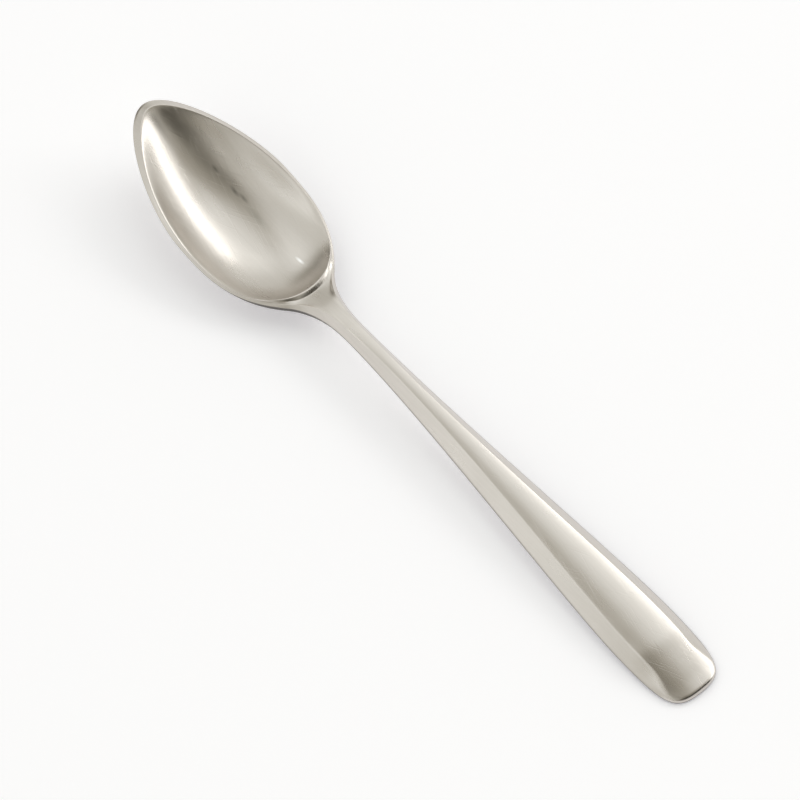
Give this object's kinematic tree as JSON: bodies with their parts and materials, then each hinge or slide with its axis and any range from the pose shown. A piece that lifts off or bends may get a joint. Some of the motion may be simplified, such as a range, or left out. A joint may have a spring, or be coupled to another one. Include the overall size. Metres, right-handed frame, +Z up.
{
  "type": "dessert spoon",
  "caption": "One-piece steel dessert spoon with a pointed egg-shaped bowl, a slim neck and a bevelled handle that widens to a rounded end.",
  "frame": {"origin": "on the table, under the middle of the spoon's length and width", "axes": "+X from the bowl's tip to the handle's end, +Z up out of the bowl's hollow"},
  "size_m": [0.18, 0.0306, 0.0146],
  "materials": {
    "steel": "satin, finely brushed along the spoon"
  },
  "bodies": {
    "root": {"spoon": "steel"}
  },
  "joints": []
}
